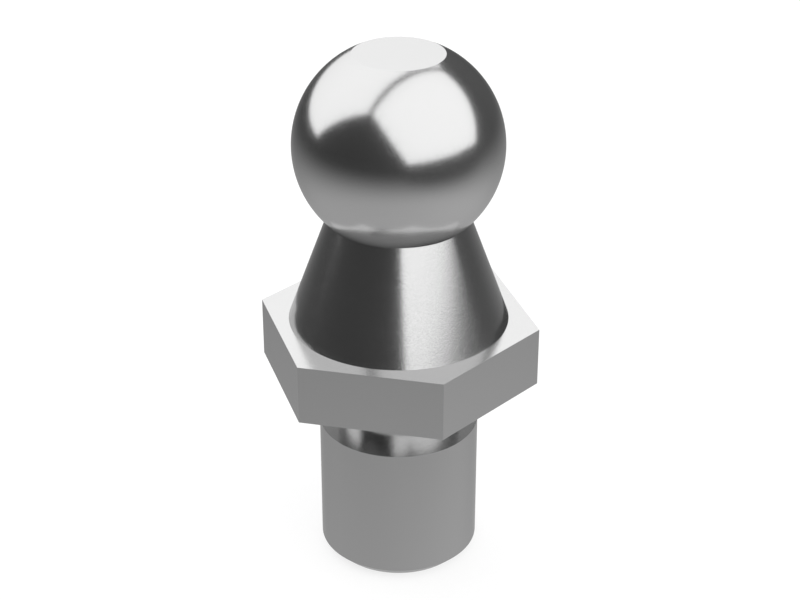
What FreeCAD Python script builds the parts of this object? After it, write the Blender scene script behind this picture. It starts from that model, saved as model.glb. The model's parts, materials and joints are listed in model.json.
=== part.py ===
# Ball stud for a ball socket, turned from hexagon bar in one piece: a ball with a flat on its pole,
# a conical neck, a hexagon that takes the spanner and a shank with a relief groove under the hexagon.
# The origin is on the axis in the seat, which is the underside of the hexagon, and +Z runs to the ball.
# All lengths are in millimetres.
import FreeCAD, Part
import Sketcher
import math
import os

# Driving sizes: name, value and what it measures
SIZES = [
    ("ball_diameter", 10.0, "ball, over its full sphere"),
    ("pole_flat_height", 4.5, "centre of the ball to the flat on its pole"),
    ("ball_height", 9.0, "top of the hexagon to the centre of the ball"),
    ("neck_base_diameter", 10.7, "neck, where it leaves the hexagon"),
    ("neck_cone_angle", 40.0, "whole angle of the neck's cone, in degrees"),
    ("hexagon_across_flats", 12.0, "spanner size"),
    ("hexagon_thickness", 3.0, "hexagon, along the axis"),
    ("relief_diameter", 6.0, "bottom of the groove under the hexagon"),
    ("relief_width", 2.7, "groove, along the axis"),
    ("shank_diameter", 7.9, "shank, over the crests of its 8 mm thread"),
    ("shank_length", 10.0, "seat to the end of the shank"),
    ("end_chamfer", 0.5, "chamfer at the end of the shank"),
]

# A sketch's own origin, as its constraints name it: the first point of the level axis
ORIGIN = (-1, 1)


def start(curve):
    """The first point of a line or an arc."""
    return curve, 1


def end(curve):
    """The last point of a line or an arc."""
    return curve, 2


def centre(curve):
    """The centre of a circle or an arc."""
    return curve, 3


def make_sheet(doc):
    """Put the driving sizes in a spreadsheet, each cell under its own name."""
    sheet = doc.addObject("Spreadsheet::Sheet", "Sizes")
    for row, (name, value, meaning) in enumerate(SIZES, start=1):
        sheet.set(f"A{row}", name)
        sheet.set(f"B{row}", str(value))
        sheet.setAlias(f"B{row}", name)
        sheet.set(f"C{row}", meaning)
    doc.recompute()
    return sheet


def new_sketch(body, name, role):
    """A sketch on one of the body's own origin planes."""
    plane = next(item for item in body.Origin.OriginFeatures if item.Role == role)
    sketch = body.newObject("Sketcher::SketchObject", name)
    sketch.AttachmentSupport = [(plane, "")]
    sketch.MapMode = "FlatFace"
    return sketch


def constrain(sketch, kind, *parts):
    """A constraint without a size."""
    sketch.addConstraint(Sketcher.Constraint(kind, *parts))


def on_level_axis(sketch, point):
    """Hold a point on the sketch's first axis, which its constraints know as -1."""
    constrain(sketch, "PointOnObject", *point, -1)


def on_stud_axis(sketch, *points):
    """Hold points on the sketch's upright axis, which its constraints know as -2."""
    for point in points:
        constrain(sketch, "PointOnObject", *point, -2)


def dimension(sketch, name, kind, *parts, size):
    """A named dimension that takes its value from the sheet."""
    value = float(sketch.evalExpression(size))
    index = sketch.addConstraint(Sketcher.Constraint(kind, *parts, value))
    sketch.renameConstraint(index, name)
    sketch.setExpression(f"Constraints.{name}", size)


def round_about(height, radius):
    """A circle in a sketch, with its centre on the vertical axis."""
    return Part.Circle(FreeCAD.Vector(0, height, 0), FreeCAD.Vector(0, 0, 1), radius)


def closed_outline(sketch, corners):
    """Straight lines from corner to corner and back to the first. Returns their numbers."""
    points = [FreeCAD.Vector(x, y, 0) for x, y in corners]
    lines = []
    for point, next_point in zip(points, points[1:] + points[:1]):
        lines.append(sketch.addGeometry(Part.LineSegment(point, next_point)))
    for line, following in zip(lines, lines[1:] + lines[:1]):
        constrain(sketch, "Coincident", *end(line), *start(following))
    return lines


def revolve(body, kind, name, sketch):
    """A full turn of the sketch about the stud's axis."""
    feature = body.newObject(f"PartDesign::{kind}", name)
    feature.Profile = sketch
    feature.ReferenceAxis = (sketch, ["V_Axis"])
    feature.Angle = 360.0
    sketch.Visibility = False
    return feature


def add_hexagon(body, sheet):
    """The hexagon of the bar, from the seat up, with a corner on +X."""
    sketch = new_sketch(body, "HexagonOutline", "XY_Plane")
    corner_radius = sheet.hexagon_across_flats / 2 / math.cos(math.pi / 6)
    turns = [math.pi / 3 * corner for corner in range(6)]
    sides = closed_outline(sketch, [
        (corner_radius * math.cos(turn), corner_radius * math.sin(turn)) for turn in turns
    ])
    circle = sketch.addGeometry(round_about(0, corner_radius), True)
    constrain(sketch, "Coincident", *centre(circle), *ORIGIN)
    for side in sides:
        constrain(sketch, "PointOnObject", *start(side), circle)
    for side in sides[1:]:
        constrain(sketch, "Equal", sides[0], side)
    on_level_axis(sketch, start(sides[0]))
    dimension(sketch, "corner_radius", "Radius", circle,
              size="Sizes.hexagon_across_flats / 2 / cos(30 deg)")
    pad = body.newObject("PartDesign::Pad", "Hexagon")
    pad.Profile = sketch
    pad.setExpression("Length", "Sizes.hexagon_thickness")
    sketch.Visibility = False
    return pad


def add_neck(body, sheet):
    """The cone from the top of the hexagon, carried on inside the ball up to the ball's centre."""
    sketch = new_sketch(body, "NeckProfile", "XZ_Plane")
    foot = sheet.hexagon_thickness
    base_radius = sheet.neck_base_diameter / 2
    slope = math.tan(math.radians(sheet.neck_cone_angle / 2))
    base, flank, top, middle = closed_outline(sketch, [
        (0, foot),
        (base_radius, foot),
        (base_radius - sheet.ball_height * slope, foot + sheet.ball_height),
        (0, foot + sheet.ball_height),
    ])
    constrain(sketch, "Horizontal", base)
    constrain(sketch, "Horizontal", top)
    on_stud_axis(sketch, start(middle), end(middle))
    dimension(sketch, "foot", "DistanceY", *ORIGIN, *start(base),
              size="Sizes.hexagon_thickness")
    dimension(sketch, "height", "DistanceY", *start(flank), *end(flank),
              size="Sizes.ball_height")
    dimension(sketch, "base_radius", "DistanceX", *start(base), *end(base),
              size="Sizes.neck_base_diameter / 2")
    dimension(sketch, "taper", "DistanceX", *end(flank), *start(flank),
              size="Sizes.ball_height * tan(Sizes.neck_cone_angle / 2 * 1 deg)")
    return revolve(body, "Revolution", "Neck", sketch)


def add_ball(body, sheet):
    """The ball, cut flat at its pole."""
    sketch = new_sketch(body, "BallProfile", "XZ_Plane")
    radius = sheet.ball_diameter / 2
    centre_height = sheet.hexagon_thickness + sheet.ball_height
    flat_height = centre_height + sheet.pole_flat_height
    flat_angle = math.asin(sheet.pole_flat_height / radius)
    flat_radius = radius * math.cos(flat_angle)
    sphere = round_about(centre_height, radius)
    arc = sketch.addGeometry(Part.ArcOfCircle(sphere, -math.pi / 2, flat_angle))
    flat = sketch.addGeometry(Part.LineSegment(
        FreeCAD.Vector(flat_radius, flat_height, 0), FreeCAD.Vector(0, flat_height, 0)))
    middle = sketch.addGeometry(Part.LineSegment(
        FreeCAD.Vector(0, flat_height, 0), FreeCAD.Vector(0, centre_height - radius, 0)))
    constrain(sketch, "Coincident", *end(arc), *start(flat))
    constrain(sketch, "Coincident", *end(flat), *start(middle))
    constrain(sketch, "Coincident", *end(middle), *start(arc))
    on_stud_axis(sketch, centre(arc), start(middle), end(middle))
    constrain(sketch, "Horizontal", flat)
    dimension(sketch, "radius", "Radius", arc,
              size="Sizes.ball_diameter / 2")
    dimension(sketch, "centre_height", "DistanceY", *ORIGIN, *centre(arc),
              size="Sizes.hexagon_thickness + Sizes.ball_height")
    dimension(sketch, "pole_flat", "DistanceY", *centre(arc), *end(flat),
              size="Sizes.pole_flat_height")
    return revolve(body, "Revolution", "Ball", sketch)


def add_shank(body, sheet):
    """The plain cylinder below the seat."""
    sketch = new_sketch(body, "ShankOutline", "XY_Plane")
    circle = sketch.addGeometry(round_about(0, sheet.shank_diameter / 2))
    constrain(sketch, "Coincident", *centre(circle), *ORIGIN)
    dimension(sketch, "radius", "Radius", circle, size="Sizes.shank_diameter / 2")
    pad = body.newObject("PartDesign::Pad", "Shank")
    pad.Profile = sketch
    pad.Reversed = True
    pad.setExpression("Length", "Sizes.shank_length")
    sketch.Visibility = False
    return pad


def cut_relief(body, sheet):
    """The groove that lets a thread run out short of the seat."""
    sketch = new_sketch(body, "ReliefProfile", "XZ_Plane")
    inner = sheet.relief_diameter / 2
    outer = sheet.shank_diameter / 2
    width = sheet.relief_width
    seat, wall, shoulder, mouth = closed_outline(sketch, [
        (outer, 0),
        (inner, 0),
        (inner, -width),
        (outer, -width),
    ])
    constrain(sketch, "Horizontal", seat)
    constrain(sketch, "Horizontal", shoulder)
    constrain(sketch, "Vertical", wall)
    constrain(sketch, "Vertical", mouth)
    on_level_axis(sketch, start(seat))
    dimension(sketch, "inner_radius", "DistanceX", *ORIGIN, *start(wall),
              size="Sizes.relief_diameter / 2")
    dimension(sketch, "outer_radius", "DistanceX", *ORIGIN, *end(mouth),
              size="Sizes.shank_diameter / 2")
    dimension(sketch, "width", "DistanceY", *end(wall), *start(wall),
              size="Sizes.relief_width")
    return revolve(body, "Groove", "Relief", sketch)


def chamfer_end(body, sheet, base):
    """The chamfer that leads the shank into its hole."""
    rim = next(
        number for number, edge in enumerate(base.Shape.Edges, start=1)
        if math.isclose(edge.BoundBox.ZMax, -sheet.shank_length)
    )
    chamfer = body.newObject("PartDesign::Chamfer", "EndChamfer")
    chamfer.Base = (base, [f"Edge{rim}"])
    chamfer.setExpression("Size", "Sizes.end_chamfer")
    return chamfer


def check(doc, body):
    """Stop if a feature failed, or if the stud isn't one sound solid."""
    for item in doc.Objects:
        faults = {"Invalid", "Error"}.intersection(item.State)
        if faults:
            raise RuntimeError(f"{item.Label} is {', '.join(sorted(faults))}")
    shape = body.Shape
    if shape.isNull() or not shape.isValid() or len(shape.Solids) != 1:
        raise RuntimeError(f"{body.Label} isn't one valid solid")


def require_less(before, after):
    """Stop if a feature that cuts has taken nothing away."""
    if after.Shape.Volume >= before.Shape.Volume:
        raise RuntimeError(f"{after.Label} cuts nothing")


def main():
    doc = FreeCAD.newDocument("BallStud")
    sheet = make_sheet(doc)
    body = doc.addObject("PartDesign::Body", "BallStud")
    body.Label = "ball_stud"

    add_hexagon(body, sheet)
    add_neck(body, sheet)
    add_ball(body, sheet)
    shank = add_shank(body, sheet)
    doc.recompute()
    relief = cut_relief(body, sheet)
    doc.recompute()
    require_less(shank, relief)
    chamfer = chamfer_end(body, sheet, relief)
    doc.recompute()
    require_less(relief, chamfer)
    check(doc, body)

    os.makedirs("parts", exist_ok=True)
    body.Shape.exportStep(f"parts/{body.Label}.step")
    print(f"{body.Label}: {body.Shape.Volume:.2f} cubic mm, {len(body.Shape.Faces)} faces")


main()
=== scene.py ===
import json
import math

import bpy
from mathutils import Matrix, Vector


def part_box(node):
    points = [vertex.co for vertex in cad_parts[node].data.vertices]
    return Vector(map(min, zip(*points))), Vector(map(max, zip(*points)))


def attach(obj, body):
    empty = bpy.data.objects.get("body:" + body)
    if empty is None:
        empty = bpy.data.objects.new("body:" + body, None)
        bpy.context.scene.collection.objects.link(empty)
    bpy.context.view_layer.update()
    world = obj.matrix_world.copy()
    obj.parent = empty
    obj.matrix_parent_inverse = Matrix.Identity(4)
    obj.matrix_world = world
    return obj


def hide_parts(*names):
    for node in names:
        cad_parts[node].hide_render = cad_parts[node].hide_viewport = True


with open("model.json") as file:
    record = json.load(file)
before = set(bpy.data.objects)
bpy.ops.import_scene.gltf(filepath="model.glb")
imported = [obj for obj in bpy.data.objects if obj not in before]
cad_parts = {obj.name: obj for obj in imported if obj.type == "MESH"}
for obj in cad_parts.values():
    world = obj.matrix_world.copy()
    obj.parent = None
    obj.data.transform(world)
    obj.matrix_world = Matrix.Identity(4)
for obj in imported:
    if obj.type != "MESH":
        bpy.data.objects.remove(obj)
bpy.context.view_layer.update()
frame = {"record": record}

MM = 0.001
MICRON = 0.000001
BODY = "root"
NODE = "ball_stud"

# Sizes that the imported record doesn't state
NECK_BASE_RADIUS = 5.35 * MM
NECK_SLOPE = math.tan(math.radians(20.0))
HEXAGON_THICKNESS = 3.0 * MM
RELIEF_RADIUS = 3.0 * MM
END_CHAMFER = 0.5 * MM

# The bar's sides, and how finely the piece is turned
SIDES = 6
SHARP_ANGLE = math.radians(20.0)
BALL_STEP = math.radians(1.5)
COLUMNS = 288
CORNER_CROWDING = 0.8
WELD_DISTANCE = 0.5 * MICRON

# The photo's camera
VIEW_AZIMUTH = math.radians(12.67)
VIEW_ELEVATION = math.radians(28.5)
VIEW_DISTANCE = 89.9 * MM
VIEW_HEIGHT = 3.8 * MM
VIEW_SIDE = 0.065 * MM
FOCAL_PIXELS = 1852.0
PHOTO_WIDTH = 800.0
SENSOR_WIDTH = 36.0
CLIP_START = 5.0 * MM

# The steel, its grain and the marks that the tools left. Both heights are in microns, and a detail says
# how many times the noise is broken up into finer noise. The flag on_hexagon is 1 all over a side of the
# hexagon and less on its two faces.
STEELS = (0.55, 0.57)
EDGE_TINT = 0.765
ROUGHNESSES = (0.10, 0.275)
MARK_WIDTH = 0.20 * MM
MARK_HEIGHT = 0.15
MARK_DETAIL = 3.0
GRAIN_SIZE = 0.09 * MM
GRAIN_HEIGHT = 0.95
GRAIN_DETAIL = 1.0
GRAIN_IN_GLOSS = 0.7
CLOUD_SIZE = 3.0 * MM
CLOUD_DETAIL = 2.0
SIDE_FLAG = 0.999

# The studio: two panels of light that lean over the stud like a tent, in a dim room with a lighter ground.
# Azimuths are in degrees, counted from the camera's and to the right. A drop is the height of a direction,
# from -1 straight down to 1 straight up. A facing is how far a direction turns to an azimuth, 1 at most.
RIGHT_PANEL = {
    "azimuth": 47.1, "foot": (0.2076, 0.0249), "ridge": (0.0028, 0.1972),
    "width": 0.349, "aside": 0.0146, "roll": 0.65, "light": 1.478,
}
LEFT_PANEL = {
    "azimuth": -132.5, "foot": (0.2183, 0.0300), "ridge": (0.0146, 0.2027),
    "width": 0.3742, "aside": -0.0242, "roll": 1.6, "light": 1.465,
}
ROOM_GREY = 0.086
SIDE_LIGHTS = (0.072, 0.025)
SIDE_AZIMUTH = 128.0
BACK_LIGHT = 0.034
BACK_AZIMUTH = 170.0
BACK_FACINGS = (0.6, 1.0)
GROUND_GREY = 0.591
GROUND_DROPS = (-0.726, -0.082)
SHADE_AZIMUTH = 50.0
SHADE_FACINGS = (0.6, 1.0)
SHADED_DROPS = (-0.685, -0.229)
FLOOR_GREY = 0.24
FLOOR_REACH = 5.0
FLOOR_GAP = 0.01 * MM
FLOOR_LIFTS = (0.785, 1.0)
FLOOR_LIFT_RADII = (60 * MM, 150 * MM)


def put(tree, kind, *feeds, **settings):
    """Add a node, set it up, and link or type in what feeds its sockets, in their order."""
    node = tree.nodes.new(kind)
    for name, value in settings.items():
        setattr(node, name, value)
    sockets = [socket for socket in node.inputs if socket.enabled]
    for socket, feed in zip(sockets, feeds):
        if isinstance(feed, bpy.types.NodeSocket):
            tree.links.new(feed, socket)
        elif feed is not None:
            socket.default_value = feed
    return node


def calc(tree, operation, *feeds):
    """One step of arithmetic."""
    return put(tree, "ShaderNodeMath", *feeds, operation=operation).outputs[0]


def ramp(tree, value, *ends):
    """A smooth rise between two values, from 0 to 1 or between the next two numbers."""
    return put(tree, "ShaderNodeMapRange", value, *ends, interpolation_type="SMOOTHSTEP").outputs[0]


def grey(level):
    """A grey colour."""
    return (level, level, level, 1.0)


def mount(name):
    """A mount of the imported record."""
    return next(item for item in frame["record"]["mounts"] if item["name"] == name)


def sizes_from_frame():
    """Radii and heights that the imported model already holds."""
    low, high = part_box(NODE)
    ball = mount("ball")
    shank = mount("shank")
    return {
        "end": low.z,
        "pole": high.z,
        "seat": mount("seat")["pos_m"][2],
        "ball_height": ball["pos_m"][2],
        "ball_radius": ball["dims"]["r_mm"] * MM,
        "shank_radius": shank["dims"]["r_mm"] * MM,
        "shoulder": shank["pos_m"][2] + shank["dims"]["length_mm"] * MM / 2,
        "half_flats": high.y,
    }


def ball_arc(sizes, neck_foot):
    """Points of the ball from its neck up to the flat on its pole."""
    radius = sizes["ball_radius"]
    drop = neck_foot - sizes["ball_height"]
    # the neck's flank, radius = NECK_BASE_RADIUS - NECK_SLOPE * (height - neck_foot), meets the sphere
    reach = NECK_BASE_RADIUS + NECK_SLOPE * drop
    square = 1 + NECK_SLOPE ** 2
    root = math.sqrt((NECK_SLOPE * reach) ** 2 - square * (reach ** 2 - radius ** 2))
    first = math.asin((NECK_SLOPE * reach - root) / square / radius)
    last = math.asin((sizes["pole"] - sizes["ball_height"]) / radius)
    steps = round((last - first) / BALL_STEP)
    angles = [first + (last - first) * step / steps for step in range(steps + 1)]
    return [
        (radius * math.cos(angle), sizes["ball_height"] + radius * math.sin(angle))
        for angle in angles
    ]


def half_section(sizes):
    """Corners of the stud's half section, bottom to top: radius, height, on the hexagon or not."""
    top = sizes["seat"] + HEXAGON_THICKNESS
    shank = sizes["shank_radius"]
    corners = [
        (0.0, sizes["end"], 0),
        (shank - END_CHAMFER, sizes["end"], 0),
        (shank, sizes["end"] + END_CHAMFER, 0),
        (shank, sizes["shoulder"], 0),
        (RELIEF_RADIUS, sizes["shoulder"], 0),
        (RELIEF_RADIUS, sizes["seat"], 0),
        (sizes["half_flats"], sizes["seat"], 1),
        (sizes["half_flats"], top, 1),
        (NECK_BASE_RADIUS, top, 0),
    ]
    corners += [(radius, height, 0) for radius, height in ball_arc(sizes, top)]
    corners.append((0.0, sizes["pole"], 0))
    return corners


def section_mesh(corners):
    """The half section as a row of vertices that also say whether they lie on the hexagon."""
    mesh = bpy.data.meshes.new("half_section")
    places = [(radius, 0.0, height) for radius, height, hexagonal in corners]
    mesh.from_pydata(places, [(index, index + 1) for index in range(len(places) - 1)], [])
    on_hexagon = mesh.attributes.new("on_hexagon", "FLOAT", "POINT")
    for item, (radius, height, hexagonal) in zip(on_hexagon.data, corners):
        item.value = hexagonal
    return mesh


def turning_tree():
    """Turns a half section about Z. Points on the hexagon follow its six sides instead of a circle."""
    tree = bpy.data.node_groups.new("Turned on a hexagon bar", "GeometryNodeTree")
    tree.interface.new_socket("Half section", in_out="INPUT", socket_type="NodeSocketGeometry")
    tree.interface.new_socket("Columns", in_out="INPUT", socket_type="NodeSocketInt")
    tree.interface.new_socket("Corner crowding", in_out="INPUT", socket_type="NodeSocketFloat")
    tree.interface.new_socket("Weld distance", in_out="INPUT", socket_type="NodeSocketFloat")
    tree.interface.new_socket("Sharp angle", in_out="INPUT", socket_type="NodeSocketFloat")
    tree.interface.new_socket("Finish", in_out="INPUT", socket_type="NodeSocketMaterial")
    tree.interface.new_socket("Turned piece", in_out="OUTPUT", socket_type="NodeSocketGeometry")
    given = tree.nodes.new("NodeGroupInput").outputs
    section = given["Half section"]

    # one row of the grid for each point of the section, one column for each step round the axis
    rows = put(tree, "GeometryNodeAttributeDomainSize", section).outputs["Point Count"]
    columns = calc(tree, "ADD", given["Columns"], 1.0)
    grid = put(tree, "GeometryNodeMeshGrid", 1.0, 1.0, rows, columns).outputs["Mesh"]
    index = tree.nodes.new("GeometryNodeInputIndex").outputs[0]
    row = calc(tree, "FLOOR", calc(tree, "DIVIDE", index, columns))
    column = calc(tree, "SUBTRACT", index, calc(tree, "MULTIPLY", row, columns))

    place = tree.nodes.new("GeometryNodeInputPosition").outputs[0]
    sampled = put(tree, "GeometryNodeSampleIndex", section, place, row, data_type="FLOAT_VECTOR")
    radius, _, height = put(tree, "ShaderNodeSeparateXYZ", sampled.outputs[0]).outputs
    flag = put(tree, "GeometryNodeInputNamedAttribute", "on_hexagon", data_type="FLOAT").outputs[0]
    hexagonal = put(tree, "GeometryNodeSampleIndex", section, flag, row, data_type="FLOAT").outputs[0]

    # columns crowd towards the hexagon's corners
    even = calc(tree, "DIVIDE", calc(tree, "MULTIPLY", column, 2 * math.pi), given["Columns"])
    wave = calc(tree, "DIVIDE", calc(tree, "SINE", calc(tree, "MULTIPLY", even, SIDES)), SIDES)
    turn = calc(tree, "SUBTRACT", even, calc(tree, "MULTIPLY", wave, given["Corner crowding"]))

    # a side of the hexagon lies at 1 / cos(angle from its middle) times the radius of its middle
    past_corner = calc(tree, "FLOORED_MODULO", turn, 2 * math.pi / SIDES)
    from_middle = calc(tree, "SUBTRACT", past_corner, math.pi / SIDES)
    side = calc(tree, "DIVIDE", 1.0, calc(tree, "COSINE", from_middle))
    stretch = calc(tree, "MULTIPLY_ADD", calc(tree, "SUBTRACT", side, 1.0), hexagonal, 1.0)
    out = calc(tree, "MULTIPLY", radius, stretch)
    x = calc(tree, "MULTIPLY", out, calc(tree, "COSINE", turn))
    y = calc(tree, "MULTIPLY", out, calc(tree, "SINE", turn))
    turned_place = put(tree, "ShaderNodeCombineXYZ", x, y, height).outputs[0]

    turned = put(tree, "GeometryNodeSetPosition", grid, None, turned_place).outputs[0]
    marked = put(tree, "GeometryNodeStoreNamedAttribute", turned, None, "on_hexagon", hexagonal,
                 data_type="FLOAT", domain="POINT").outputs[0]
    welded = put(tree, "GeometryNodeMergeByDistance", marked, None, given["Weld distance"]).outputs[0]
    outward = put(tree, "GeometryNodeFlipFaces", welded).outputs[0]
    smooth = put(tree, "GeometryNodeSetShadeSmooth", outward).outputs[0]
    bend = tree.nodes.new("GeometryNodeInputMeshEdgeAngle").outputs[0]
    sharp = calc(tree, "GREATER_THAN", bend, given["Sharp angle"])
    creased = put(tree, "GeometryNodeSetShadeSmooth", smooth, sharp, False, domain="EDGE").outputs[0]
    real = put(tree, "GeometryNodeRealizeInstances", creased).outputs[0]
    finished = put(tree, "GeometryNodeSetMaterial", real, None, given["Finish"]).outputs[0]
    put(tree, "NodeGroupOutput", finished)
    return tree


def feed_modifier(modifier, **values):
    """Set a Geometry Nodes modifier's inputs, each by its socket's identifier."""
    for item in modifier.node_group.interface.items_tree:
        key = item.name.lower().replace(" ", "_")
        if item.in_out == "INPUT" and key in values:
            modifier[item.identifier] = values[key]


def as_plain_mesh(source, name):
    """What the modifiers make, as a mesh object of its own. The source is deleted."""
    evaluated = source.evaluated_get(bpy.context.evaluated_depsgraph_get())
    mesh = bpy.data.meshes.new_from_object(evaluated)
    mesh.name = name
    piece = bpy.data.objects.new(name, mesh)
    bpy.context.scene.collection.objects.link(piece)
    bpy.data.objects.remove(source)
    return piece


def make_stud(sizes, steel):
    """The whole stud, in one closed mesh."""
    mesh = section_mesh(half_section(sizes))
    source = bpy.data.objects.new("half_section", mesh)
    bpy.context.scene.collection.objects.link(source)
    turning = source.modifiers.new("Turning", "NODES")
    turning.node_group = turning_tree()
    feed_modifier(
        turning,
        columns=COLUMNS,
        corner_crowding=CORNER_CROWDING,
        weld_distance=WELD_DISTANCE,
        sharp_angle=SHARP_ANGLE,
        finish=steel,
    )
    return as_plain_mesh(source, "turned_stud")


def noise(tree, place, size, detail):
    """Noise between 0 and 1, with spots about as wide as the size."""
    return put(tree, "ShaderNodeTexNoise", place, 1 / size, detail).outputs[0]


def tool_marks(tree, place):
    """Fine marks of the tools: rings on what was turned, lines along the bar on the hexagon's sides."""
    x, y, z = put(tree, "ShaderNodeSeparateXYZ", place).outputs
    across_bar = put(tree, "ShaderNodeCombineXYZ", x, y, 0.0).outputs[0]
    from_axis = put(tree, "ShaderNodeVectorMath", across_bar, operation="LENGTH").outputs["Value"]
    across_rings = put(tree, "ShaderNodeCombineXYZ", from_axis, z, 0.0).outputs[0]
    on_hexagon = put(tree, "ShaderNodeAttribute", attribute_name="on_hexagon").outputs["Fac"]
    on_side = calc(tree, "GREATER_THAN", on_hexagon, SIDE_FLAG)
    across_marks = put(tree, "ShaderNodeMix", on_side, across_rings, across_bar,
                       data_type="VECTOR").outputs[1]
    return noise(tree, across_marks, MARK_WIDTH, MARK_DETAIL)


def steel_material():
    """Bright turned steel with a fine grain."""
    material = bpy.data.materials.new("Turned steel")
    material.use_nodes = True
    tree = material.node_tree
    place = tree.nodes.new("ShaderNodeTexCoord").outputs["Object"]
    marks = tool_marks(tree, place)
    grain = noise(tree, place, GRAIN_SIZE, GRAIN_DETAIL)
    clouds = noise(tree, place, CLOUD_SIZE, CLOUD_DETAIL)
    height = calc(tree, "MULTIPLY_ADD", marks, MARK_HEIGHT, calc(tree, "MULTIPLY", grain, GRAIN_HEIGHT))
    bump = put(tree, "ShaderNodeBump", 1.0, MICRON, None, height).outputs[0]
    tone = calc(tree, "MULTIPLY", calc(tree, "ADD", marks, clouds), 0.5)
    gloss = put(tree, "ShaderNodeMix", GRAIN_IN_GLOSS, tone, grain).outputs[0]
    roughness = put(tree, "ShaderNodeMapRange", gloss, 0.0, 1.0, *ROUGHNESSES).outputs[0]
    steel = put(tree, "ShaderNodeMapRange", tone, 0.0, 1.0, *STEELS).outputs[0]
    colour = put(tree, "ShaderNodeCombineColor", steel, steel, steel).outputs[0]
    shader = tree.nodes["Principled BSDF"]
    shader.inputs["Metallic"].default_value = 1.0
    shader.inputs["Specular Tint"].default_value = grey(EDGE_TINT)
    tree.links.new(colour, shader.inputs["Base Color"])
    tree.links.new(roughness, shader.inputs["Roughness"])
    tree.links.new(bump, shader.inputs["Normal"])
    return material


def towards(azimuth, elevation=0.0):
    """Direction of an azimuth, counted from the camera's and to the right, in the model's frame."""
    turn = VIEW_AZIMUTH + azimuth
    level = math.cos(elevation)
    return Vector((math.sin(turn) * level, -math.cos(turn) * level, math.sin(elevation)))


def floor_material():
    """White for the camera, with the stud's faint shadow."""
    material = bpy.data.materials.new("White sheet")
    material.use_nodes = True
    tree = material.node_tree
    tree.nodes.clear()
    ray = tree.nodes.new("ShaderNodeLightPath").outputs
    place = tree.nodes.new("ShaderNodeTexCoord").outputs["Object"]
    distance = put(tree, "ShaderNodeVectorMath", place, operation="LENGTH").outputs["Value"]
    lift = ramp(tree, distance, *FLOOR_LIFT_RADII, *FLOOR_LIFTS)
    seen = calc(tree, "MULTIPLY", lift, ray["Is Camera Ray"])
    white = put(tree, "ShaderNodeEmission", grey(1.0), seen).outputs[0]
    shadow = put(tree, "ShaderNodeBsdfDiffuse", grey(FLOOR_GREY)).outputs[0]
    both = put(tree, "ShaderNodeAddShader", white, shadow).outputs[0]
    put(tree, "ShaderNodeOutputMaterial", both)
    return material


def make_floor(height):
    """A wide floor under the stud. The steel mirrors the room's ground in its place."""
    mesh = bpy.data.meshes.new("floor")
    corners = [(-1, -1), (1, -1), (1, 1), (-1, 1)]
    mesh.from_pydata([(x * FLOOR_REACH, y * FLOOR_REACH, height) for x, y in corners], [], [(0, 1, 2, 3)])
    mesh.materials.append(floor_material())
    floor = bpy.data.objects.new("floor", mesh)
    floor.visible_glossy = False
    floor.visible_shadow = False
    bpy.context.scene.collection.objects.link(floor)


def facing(tree, direction, azimuth):
    """How far a direction faces an azimuth: 1 along it, -1 away from it."""
    side = towards(math.radians(azimuth))
    return put(tree, "ShaderNodeVectorMath", direction, side, operation="DOT_PRODUCT").outputs["Value"]


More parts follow.
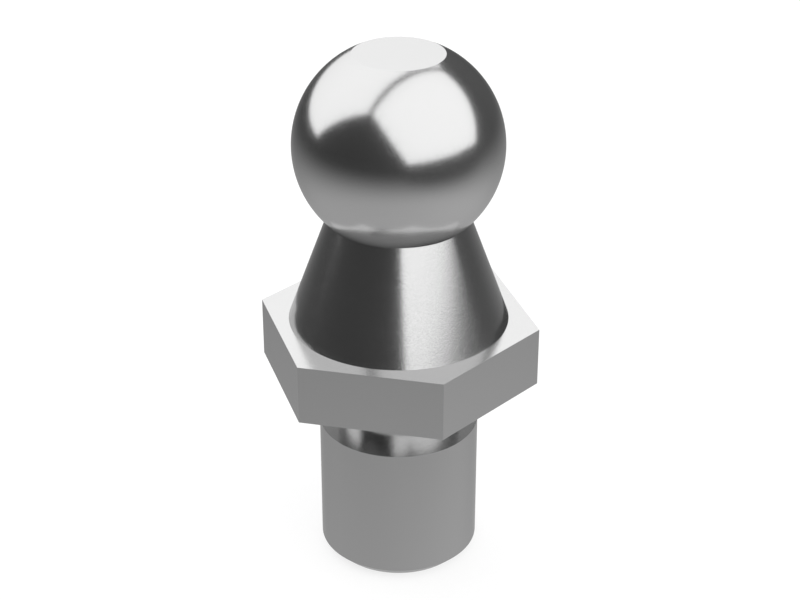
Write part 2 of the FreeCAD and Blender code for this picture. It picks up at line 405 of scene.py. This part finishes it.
def make_room():
    """White for the camera. For all else a dim room, lighter on one side, behind and towards the ground.

    The light ground begins further down on the side of the right panel, in its shade."""
    world = bpy.data.worlds.new("Room")
    bpy.context.scene.world = world
    world.use_nodes = True
    tree = world.node_tree
    tree.nodes.clear()
    ray = tree.nodes.new("ShaderNodeLightPath").outputs
    direction = tree.nodes.new("ShaderNodeTexCoord").outputs["Generated"]
    rise = put(tree, "ShaderNodeSeparateXYZ", direction).outputs[2]
    shade = ramp(tree, facing(tree, direction, SHADE_AZIMUTH), *SHADE_FACINGS)
    drops = [put(tree, "ShaderNodeMapRange", shade, 0.0, 1.0, plain, shaded).outputs[0]
             for plain, shaded in zip(GROUND_DROPS, SHADED_DROPS)]
    walls = ramp(tree, rise, *drops, GROUND_GREY, ROOM_GREY)
    side_light = put(tree, "ShaderNodeMapRange", rise, *GROUND_DROPS, *SIDE_LIGHTS).outputs[0]
    lit_walls = calc(tree, "MULTIPLY_ADD", facing(tree, direction, SIDE_AZIMUTH), side_light, walls)
    behind = ramp(tree, facing(tree, direction, BACK_AZIMUTH), *BACK_FACINGS)
    level = calc(tree, "MULTIPLY_ADD", behind, BACK_LIGHT, lit_walls)
    room = put(tree, "ShaderNodeBackground", grey(1.0), level).outputs[0]
    white = put(tree, "ShaderNodeBackground", grey(1.0), 1.0).outputs[0]
    mixed = put(tree, "ShaderNodeMixShader", ray["Is Camera Ray"], room, white).outputs[0]
    put(tree, "ShaderNodeOutputWorld", mixed)


def make_panel(azimuth, foot, ridge, width, aside, roll, light):
    """A rectangle of even light from its foot up to its ridge, each a distance and a height.

    It is shifted along its width by aside, and turned in its own plane by roll, in degrees."""
    side = towards(math.radians(azimuth))
    low, high = [side * reach + Vector((0, 0, height)) for reach, height in (foot, ridge)]
    lamp = bpy.data.lights.new("panel", "AREA")
    lamp.shape = "RECTANGLE"
    lamp.size = width
    lamp.size_y = (high - low).length
    # a lamp's power is its brightness times pi times its area
    lamp.energy = light * math.pi * lamp.size * lamp.size_y
    panel = bpy.data.objects.new("panel", lamp)
    along = Vector((0, 0, 1)).cross(side).normalized()
    upwards = (high - low).normalized()
    lean = Matrix((along, upwards, along.cross(upwards))).transposed().to_4x4()
    middle = (low + high) / 2 + along * aside
    panel.matrix_world = Matrix.Translation(middle) @ lean @ Matrix.Rotation(math.radians(-roll), 4, "Z")
    panel.visible_camera = False
    bpy.context.scene.collection.objects.link(panel)


def make_camera():
    """The photo's camera."""
    data = bpy.data.cameras.new("camera")
    data.sensor_width = SENSOR_WIDTH
    data.lens = FOCAL_PIXELS * SENSOR_WIDTH / PHOTO_WIDTH
    data.clip_start = CLIP_START
    camera = bpy.data.objects.new("camera", data)
    right = Vector((math.cos(VIEW_AZIMUTH), math.sin(VIEW_AZIMUTH), 0))
    target = Vector((0, 0, VIEW_HEIGHT)) + right * VIEW_SIDE
    back = towards(0.0, VIEW_ELEVATION)
    camera.location = target + back * VIEW_DISTANCE
    camera.rotation_euler = back.to_track_quat("Z", "Y").to_euler()
    bpy.context.scene.collection.objects.link(camera)
    bpy.context.scene.camera = camera


bpy.context.scene.view_settings.view_transform = "Standard"
sizes = sizes_from_frame()
stud = make_stud(sizes, steel_material())
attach(stud, BODY)
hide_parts(NODE)
make_floor(sizes["end"] - FLOOR_GAP)
make_room()
for panel in (RIGHT_PANEL, LEFT_PANEL):
    make_panel(**panel)
make_camera()
